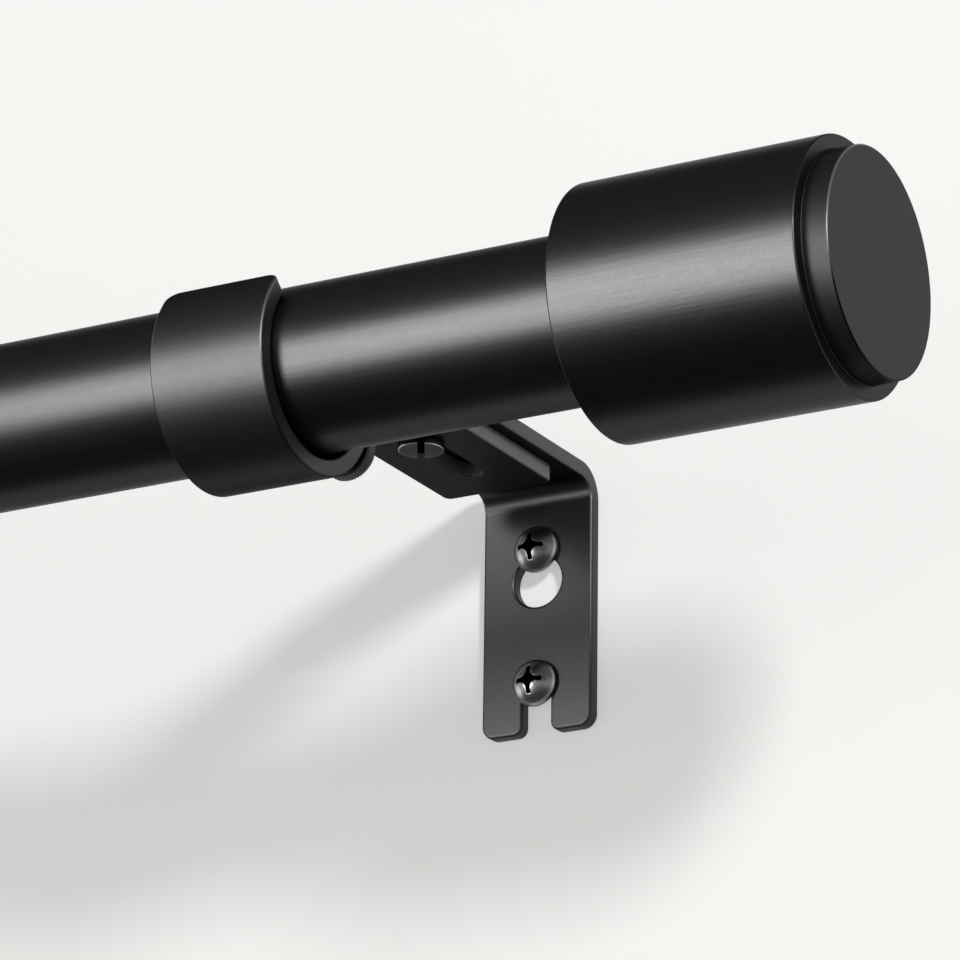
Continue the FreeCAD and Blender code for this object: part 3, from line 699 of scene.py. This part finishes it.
# Wall bracket: one strip bent to an L, with a keyhole and an open slot in its plate
bracketSizes = {
    "width": 19.8, "thickness": 2.5, "edge": 0.5, "plateDrop": 19.35, "armHeight": 22.8017,
    "bend": 3, "armFront": 47, "frontCorner": 3, "footCorner": 2.2, "forkCorner": 1.5,
    "forkWidth": 5.1, "screwSpacing": 22.5, "keyWidth": 4.8, "keyRadius": 4.3, "keyDrop": 5.2,
    "tapRadius": 2.06, "tapAt": (-1.95, 37), "place": {"right": (0, 0), "left": (-510.7, -0.2088)},
}


def makeBrackets(sizes):
    half, thick = sizes["width"] / 2, sizes["thickness"]
    bend, drop = sizes["bend"] + thick / 2, sizes["plateDrop"]
    plate = drop + sizes["armHeight"] - bend
    curve, arm = bend * math.pi / 2, sizes["armFront"] - thick / 2 - bend
    path = {"start": (-thick / 2, -drop), "heading": math.pi / 2,
            "runs": [(plate, 0), (curve, math.pi / 2), (arm, 0)]}
    length = plate + curve + arm
    fork = sizes["forkWidth"] / 2
    deep = drop - sizes["screwSpacing"] / 2 + fork
    foot, nib, front = sizes["footCorner"], sizes["forkCorner"], sizes["frontCorner"]
    outline = roundedPath([(0, -half, foot), (length, -half, front), (length, half, front), (0, half, foot),
                           (0, fork, nib), (deep, fork, fork), (deep, -fork, fork), (0, -fork, nib)])
    screwAt, neck = drop + sizes["screwSpacing"] / 2, sizes["keyWidth"] / 2
    mouth = math.asin(neck / sizes["keyRadius"])
    keyhole = arc((screwAt - sizes["keyDrop"], 0), sizes["keyRadius"], mouth, 2 * (math.pi - mouth))
    keyhole += arc((screwAt, 0), neck, -math.pi / 2, math.pi)
    across, back = sizes["tapAt"]
    tapped = ring(plate + curve + back - thick / 2 - bend, across, sizes["tapRadius"])
    for side in ("right", "left"):
        # The arm's edges are painted paler as lit, the plate's sides carry painted shade, and its rounded
        # edges a faint painted highlight
        mesh = bentSheet(f"{side}Bracket", outline, [around(keyhole), tapped], thick, sizes["edge"], path,
                         plate, ("flatStrip", "edge", "edge", "paintedShadeEdge", "rim"))
        along, up = sizes["place"][side]
        dress(f"{side}_wall_bracket", mesh, moved(along, 0, up))


makeCradles(cradleSizes)
makeBrackets(bracketSizes)
print("strips bent")


def newTree(name, inputs):
    tree = bpy.data.node_groups.new(name, "GeometryNodeTree")
    tree.interface.new_socket("Geometry", in_out="INPUT", socket_type="NodeSocketGeometry")
    for label, kind in inputs.items():
        tree.interface.new_socket(label, in_out="INPUT", socket_type=f"NodeSocket{kind}")
    tree.interface.new_socket("Geometry", in_out="OUTPUT", socket_type="NodeSocketGeometry")
    return tree, addNode(tree, "NodeGroupInput").outputs


def applyTree(piece, tree, values):
    # Sets a modifier's inputs by their socket identifiers before the piece is evaluated
    modifier = piece.modifiers.new(tree.name, "NODES")
    modifier.node_group = tree
    for item in tree.interface.items_tree:
        if item.in_out == "INPUT" and item.name in values:
            modifier[item.identifier] = values[item.name]


def joined(tree, given, added):
    both = addNode(tree, "GeometryNodeJoinGeometry", sockets={"Geometry": added})
    tree.links.new(given["Geometry"], both.inputs["Geometry"])
    return both.outputs[0]


def closeTree(tree, given, geometry):
    # Makes every copy real, gives it all its finish and sends it out
    real = addNode(tree, "GeometryNodeRealizeInstances", sockets={"Geometry": geometry})
    painted = addNode(tree, "GeometryNodeSetMaterial",
                      sockets={"Geometry": real.outputs[0], "Material": given["Finish"]})
    addNode(tree, "NodeGroupOutput", sockets={"Geometry": painted.outputs[0]})
    return tree


def threadTree():
    # Adds a helical thread below a screw's head, tapers its point, and repeats the screw in a row
    tree, given = newTree("threadedScrew", {
        "Ridge Radius": "Float", "Ridge Size": "Float", "Turns": "Float", "Thread Length": "Float",
        "Thread Foot": "Vector", "Taper Foot": "Float", "Taper Top": "Float", "Foot Share": "Float",
        "Screws": "Int", "Spacing": "Vector", "Finish": "Material"})
    helix = addNode(tree, "GeometryNodeCurveSpiral",
                    sockets={"Resolution": fineness["threadSteps"], "Rotations": given["Turns"],
                             "Start Radius": given["Ridge Radius"],
                             "End Radius": given["Ridge Radius"], "Height": given["Thread Length"]})
    upright = addNode(tree, "GeometryNodeSetCurveNormal", {"mode": "Z_UP"}, {"Curve": helix.outputs[0]})
    section = addNode(tree, "GeometryNodeCurvePrimitiveCircle",
                      sockets={"Resolution": 3, "Radius": given["Ridge Size"]})
    ridge = addNode(tree, "GeometryNodeCurveToMesh",
                    sockets={"Curve": upright.outputs[0], "Profile Curve": section.outputs[0],
                             "Fill Caps": True})
    lowered = addNode(tree, "GeometryNodeTransform",
                      sockets={"Geometry": ridge.outputs[0], "Translation": given["Thread Foot"]})
    position = addNode(tree, "GeometryNodeInputPosition")
    split = addNode(tree, "ShaderNodeSeparateXYZ", sockets={0: position.outputs[0]})
    share = addNode(tree, "ShaderNodeMapRange",
                    sockets={"Value": split.outputs["Z"], "From Min": given["Taper Foot"],
                             "From Max": given["Taper Top"], "To Min": given["Foot Share"], "To Max": 1.0})
    thinned = {axis: addMath(tree, "MULTIPLY", split.outputs[axis], share.outputs[0])
               for axis in ("X", "Y")}
    pointed = addNode(tree, "ShaderNodeCombineXYZ", sockets={**thinned, "Z": split.outputs["Z"]})
    tapered = addNode(tree, "GeometryNodeSetPosition",
                      sockets={"Geometry": lowered.outputs[0], "Position": pointed.outputs[0]})
    row = addNode(tree, "GeometryNodeMeshLine",
                  sockets={"Count": given["Screws"], "Offset": given["Spacing"]})
    screws = addNode(tree, "GeometryNodeInstanceOnPoints",
                     sockets={"Points": row.outputs[0],
                              "Instance": joined(tree, given, tapered.outputs[0])})
    return closeTree(tree, given, screws.outputs[0])


def knurlTree():
    # Sets a ring of square bars, turned corner out, round a thumb screw's head
    tree, given = newTree("knurledHead", {
        "Ridges": "Int", "Ring Radius": "Float", "Ring Place": "Vector", "Ridge Size": "Vector",
        "Finish": "Material"})
    circle = addNode(tree, "GeometryNodeCurvePrimitiveCircle",
                     sockets={"Resolution": given["Ridges"], "Radius": given["Ring Radius"]})
    points = addNode(tree, "GeometryNodeCurveToPoints", {"mode": "EVALUATED"},
                     {"Curve": circle.outputs[0]})
    position = addNode(tree, "GeometryNodeInputPosition")
    outward = addNode(tree, "FunctionNodeAlignRotationToVector", {"axis": "X"},
                      {"Vector": position.outputs[0]})
    block = addNode(tree, "GeometryNodeMeshCube", sockets={"Size": given["Ridge Size"]})
    bar = addNode(tree, "GeometryNodeTransform",
                  sockets={"Geometry": block.outputs["Mesh"], "Rotation": (0, 0, math.pi / 4)})
    ridges = addNode(tree, "GeometryNodeInstanceOnPoints",
                     sockets={"Points": points.outputs["Points"], "Instance": bar.outputs[0],
                              "Rotation": outward.outputs[0]})
    placed = addNode(tree, "GeometryNodeTransform",
                     sockets={"Geometry": ridges.outputs[0], "Translation": given["Ring Place"]})
    return closeTree(tree, given, joined(tree, given, placed.outputs[0]))


threaded, knurled = threadTree(), knurlTree()


# Driver recess: an arm's tip in arm widths, its ends and its flare in spans, how far the
# cutter stands out of the head, and its width there and at the recess's foot
recessSizes = {"tip": 0.28, "armEnd": 0.42, "flare": 0.31, "flareSteps": 4, "above": 0.5,
               "topShare": 1.15, "footShare": 0.62}


def recessCutter(span, arm, heart, top, depth, turn):
    # Tapered star for a cross recess: slim arms that flare into the middle in hollow curves.
    # With no heart it is a plain slot.
    sizes = recessSizes
    end, tip, steps = span * sizes["armEnd"], arm * sizes["tip"], sizes["flareSteps"]
    flat, sides = [(span / 2, -arm / 2), (span / 2, arm / 2)], 2
    topShare, footShare = 1, 1
    if heart:
        flat, sides = [(span / 2, tip), (end, arm / 2)], 4
        flare = span * sizes["flare"] - heart
        for angle in (math.pi / 2 * k / steps for k in range(steps + 1)):
            flat.append((heart + flare * (1 - math.sin(angle)), heart + flare * (1 - math.cos(angle))))
        flat += [(arm / 2, end), (tip, span / 2)]
        topShare, footShare = sizes["topShare"], sizes["footShare"]
    outline = [(x * math.cos(q) - y * math.sin(q), x * math.sin(q) + y * math.cos(q))
               for q in (turn + k * 2 * math.pi / sides for k in range(sides)) for x, y in flat]
    levels = [(top + sizes["above"], topShare), (top - depth, footShare)]
    verts = [(x * share * mm, y * share * mm, level * mm) for level, share in levels for x, y in outline]
    count = len(outline)
    faces = [tuple(reversed(range(count, 2 * count))), tuple(range(count))]
    faces += [(i, (i + 1) % count, (i + 1) % count + count, i + count) for i in range(count)]
    mesh = bpy.data.meshes.new("recess")
    mesh.from_pydata(verts, [], faces)
    solid = bmesh.new()
    solid.from_mesh(mesh)
    bmesh.ops.recalc_face_normals(solid, faces=solid.faces)
    solid.to_mesh(mesh)
    solid.free()
    return addObject("recess", mesh)


# Details of every screw: the thread's root below its ridge in ridge sizes, edge radii, the
# least tip, where the thread starts and how much it falls short, and the dome's rings. An edge
# past the bevel angle is rounded, and one past the sharp angle isn't shaded smooth.
screwDetail = {"rootDepth": 1.2, "tipEdge": 0.05, "rootEdge": 0.1, "rimEdge": 0.15, "domeEdge": 0.02,
               "leastTip": 0.1, "threadStart": 0.1, "threadShort": 0.6, "domeRings": 9,
               "bevel": 0.07, "bevelAngle": 32, "sharpAngle": 40}


def roundEdges(piece):
    # Fine rounding on sharp edges
    bevel = piece.modifiers.new("bevel", "BEVEL")
    bevel.width = screwDetail["bevel"] * mm
    bevel.segments = 2
    bevel.limit_method = "ANGLE"
    bevel.angle_limit = math.radians(screwDetail["bevelAngle"])
    bevel.use_clamp_overlap = True


def turnedScrew(name, corners, finish):
    # A screw's head and root, spun about Z with its head at the top
    mesh = turned(name, corners, finish, closed=False, sides=fineness["screwSides"], exact=False)
    mesh.transform(Matrix.Rotation(-math.pi / 2, 4, "Y"))
    return addObject(name, mesh)


# Screws with a domed head and a driver recess: two in each plate, one under each strap.
# The recess's span, its arms' width and the heart between them are in mm, like the rest. The
# last two entries say how far the painted highlight reaches in from the heads' rims, and how
# deep and wide the painted shade in the recess counts.
panScrewSizes = {
    "wall": {"radius": 2.1, "length": 32, "point": 6, "tip": 0.25, "head": 3.85, "height": 3.1,
             "rim": 0.8, "pitch": 1.5, "ridge": 0.42, "recess": 5.0, "arm": 0.95, "heart": 0.35,
             "depth": 2.2, "turn": 0, "count": 2, "spacing": 22.5, "finish": "screw"},
    "clamp": {"radius": 2.0, "length": 8, "point": 0.6, "tip": 1.4, "head": 3.6, "height": 1.55,
              "rim": 1.2, "pitch": 0.7, "ridge": 0.28, "recess": 8, "arm": 1.15, "heart": 0,
              "depth": 1.2, "turn": 60.5, "count": 1, "spacing": 0, "finish": "darkScrew"},
    "worn": 0.18, "inside": {"above": 0.1, "below": 0.2, "width": 0.95},
}
clampAt = {"y": -37, "z": 18.6517}


def panScrew(name, sizes):
    detail, ridge = screwDetail, sizes["ridge"]
    radius, head, height, rim = (sizes[k] for k in ("radius", "head", "height", "rim"))
    root = radius - detail["rootDepth"] * ridge
    middle = (height ** 2 - rim ** 2 - head ** 2) / (2 * (height - rim))
    dome = height - middle
    first = math.acos(head / dome)
    end, point = -sizes["length"], sizes["point"] - sizes["length"]
    tip = max(detail["leastTip"], sizes["tip"] - detail["leastTip"])
    corners = [(end, 0, 0), (end, tip, detail["tipEdge"]), (point, root, detail["rootEdge"]),
               (0, root, detail["rootEdge"]), (0, head, detail["rimEdge"])]
    for k in range(detail["domeRings"]):
        angle = first + (math.pi / 2 - first) * k / detail["domeRings"]
        corners.append((middle + dome * math.sin(angle), dome * math.cos(angle),
                        detail["domeEdge"] if k else detail["rimEdge"]))
    corners.append((height, 0, 0))
    piece = turnedScrew(name, corners, sizes["finish"])
    cutter = recessCutter(sizes["recess"], sizes["arm"], sizes["heart"], height, sizes["depth"],
                          math.radians(sizes["turn"]))
    cut = piece.modifiers.new("recess", "BOOLEAN")
    cut.operation = "DIFFERENCE"
    cut.object = cutter
    roundEdges(piece)
    thread = sizes["length"] - detail["threadShort"]
    applyTree(piece, threaded, {
        "Ridge Radius": (radius - ridge) * mm, "Ridge Size": ridge * mm,
        "Turns": thread / sizes["pitch"], "Thread Length": thread * mm,
        "Thread Foot": (0, 0, (end + detail["threadStart"]) * mm), "Taper Foot": end * mm,
        "Taper Top": point * mm, "Foot Share": sizes["tip"] / radius, "Screws": sizes["count"],
        "Spacing": (0, sizes["spacing"] * mm, 0), "Finish": finishes[sizes["finish"]]})
    mesh = plainMesh(piece)
    bpy.data.objects.remove(cutter)
    mesh.set_sharp_from_angle(angle=math.radians(detail["sharpAngle"]))
    paintedShadeIndex = len(mesh.materials)
    addCoats(mesh, ("recess", "paintedHighlightScrewRim"))
    step, worn, inside = sizes["spacing"] * mm, panScrewSizes["worn"], panScrewSizes["inside"]
    for polygon in mesh.polygons:
        at = polygon.center.copy()
        if step:
            at.y -= round(at.y / step) * step
        deep = (at - Vector((0, 0, middle * mm))).length < (dome - inside["below"]) * mm
        out = math.hypot(at.x, at.y) / mm
        # Painted shade: faces deep in the recess turn black
        if deep and at.z > inside["above"] * mm and out < inside["width"] * head:
            polygon.material_index = paintedShadeIndex
        # Painted highlight: a light line on the heads' rims
        elif at.z > (rim - worn) * mm and out > head - worn:
            polygon.material_index = paintedShadeIndex + 1
    return mesh


# Thumb screw: short thread and a knurled head, behind the hook
thumbSizes = {
    "radius": 2.0, "length": 12.3, "point": 0.5, "head": 4.3, "headHeight": 2.2, "edge": 0.25,
    "pitch": 0.7, "ridge": 0.28, "ridges": 58, "ridgeSize": 0.26, "ridgeHold": 0.2, "droop": 7.5,
    "tipInset": 0.3, "dish": 1.6, "dishDepth": 0.3, "threadStart": 0.35, "footShare": 0.8,
    "tip": {"right": 12.8, "left": 11.2},
}


def thumbScrew(name, sizes):
    # The head is a smooth core with a shallow dish in its end, and ridges that stand on the core
    detail, ridge, edge = screwDetail, sizes["ridge"], sizes["edge"]
    length, top = sizes["length"], sizes["length"] + sizes["headHeight"]
    root, core = sizes["radius"] - detail["rootDepth"] * ridge, sizes["head"] - sizes["ridgeHold"]
    dish, low = sizes["dish"], sizes["dishDepth"]
    corners = [(0, 0, 0), (0, root - sizes["tipInset"], detail["tipEdge"]),
               (sizes["point"], root, detail["tipEdge"]), (length, root, detail["rootEdge"]),
               (length, core, edge), (top, core, edge), (top, dish, detail["rimEdge"]),
               (top - low, dish - low, detail["rimEdge"]), (top - low, 0, 0)]
    piece = turnedScrew(name, corners, "knurl")
    side = sizes["ridgeSize"]
    applyTree(piece, knurled, {
        "Ridges": sizes["ridges"], "Ring Radius": (sizes["head"] - side * math.sqrt(0.5)) * mm,
        "Ring Place": (0, 0, (length + sizes["headHeight"] / 2) * mm),
        "Ridge Size": (side * mm, side * mm, (sizes["headHeight"] - 2 * edge) * mm),
        "Finish": finishes["knurl"]})
    thread = length - detail["threadShort"]
    applyTree(piece, threaded, {
        "Ridge Radius": (sizes["radius"] - ridge) * mm, "Ridge Size": ridge * mm,
        "Turns": thread / sizes["pitch"], "Thread Length": thread * mm,
        "Thread Foot": (0, 0, sizes["threadStart"] * mm), "Taper Foot": 0.0,
        "Taper Top": sizes["point"] * mm, "Foot Share": sizes["footShare"], "Screws": 1,
        "Spacing": (0, 0, 0), "Finish": finishes["knurl"]})
    mesh = plainMesh(piece)
    mesh.set_sharp_from_angle(angle=math.radians(detail["sharpAngle"]))
    return mesh


for side in ("right", "left"):
    along, up = bracketSizes["place"][side]
    spacing = panScrewSizes["wall"]["spacing"] / 2
    facing = moved(along, -bracketSizes["thickness"], up - spacing)
    dress(f"{side}_wall_screws", panScrew(f"{side}WallScrews", panScrewSizes["wall"]),
          facing @ Matrix.Rotation(math.pi / 2, 4, "X"))
    across = cradleSizes["along"][side]
    under = moved(across, clampAt["y"], clampAt["z"] + up)
    dress(f"{side}_clamp_screw", panScrew(f"{side}ClampScrew", panScrewSizes["clamp"]),
          under @ Matrix.Rotation(math.pi, 4, "X"))
    tip, droop = thumbSizes["tip"][side], math.radians(thumbSizes["droop"])
    behind = moved(across, tip * math.cos(droop), -tip * math.sin(droop))
    dress(f"{side}_thumb_screw", thumbScrew(f"{side}ThumbScrew", thumbSizes),
          onRod @ behind @ Matrix.Rotation(-math.pi / 2 - droop, 4, "X"))
keepFrom(("shadowLamp",), [piece for piece in bpy.data.objects
                           if piece.name.endswith(("_screw_finished", "_screws_finished"))])
print("screws made")
